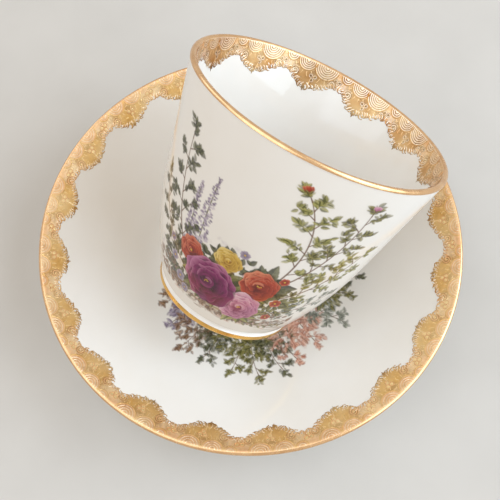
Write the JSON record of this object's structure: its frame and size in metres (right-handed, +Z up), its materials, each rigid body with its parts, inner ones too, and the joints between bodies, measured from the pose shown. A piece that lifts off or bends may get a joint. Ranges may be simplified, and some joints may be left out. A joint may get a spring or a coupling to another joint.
{
  "type": "cup and saucer",
  "caption": "Tall flared porcelain coffee cup with an ear handle, leaning in its deep round saucer; gilt rims and scalloped gilt lace borders.",
  "frame": {"origin": "centre of the saucer's foot ring, on the table", "axes": "+Z up along the saucer's axis, +X the way the cup leans, +Y to the left of that way"},
  "size_m": [0.1302, 0.1302, 0.0931],
  "materials": {
    "porcelain": "glossy white glaze with painted sprays",
    "gilding": "burnished and matt gilding"
  },
  "bodies": {
    "saucer": {"saucer_body": "porcelain", "saucer_rim_gilding": "gilding", "saucer_lace_gilding": "gilding"},
    "cup": {"cup_body": "porcelain", "cup_foot_ring": "porcelain", "cup_handle": "porcelain", "cup_rim_gilding": "gilding", "cup_lace_gilding": "gilding", "cup_foot_gilding": "gilding"}
  },
  "joints": [
    {"name": "cup_lift", "type": "slide", "parent": "saucer", "child": "cup", "axis": [0, 0, 1], "range_m": [0, 0.08]}
  ]
}
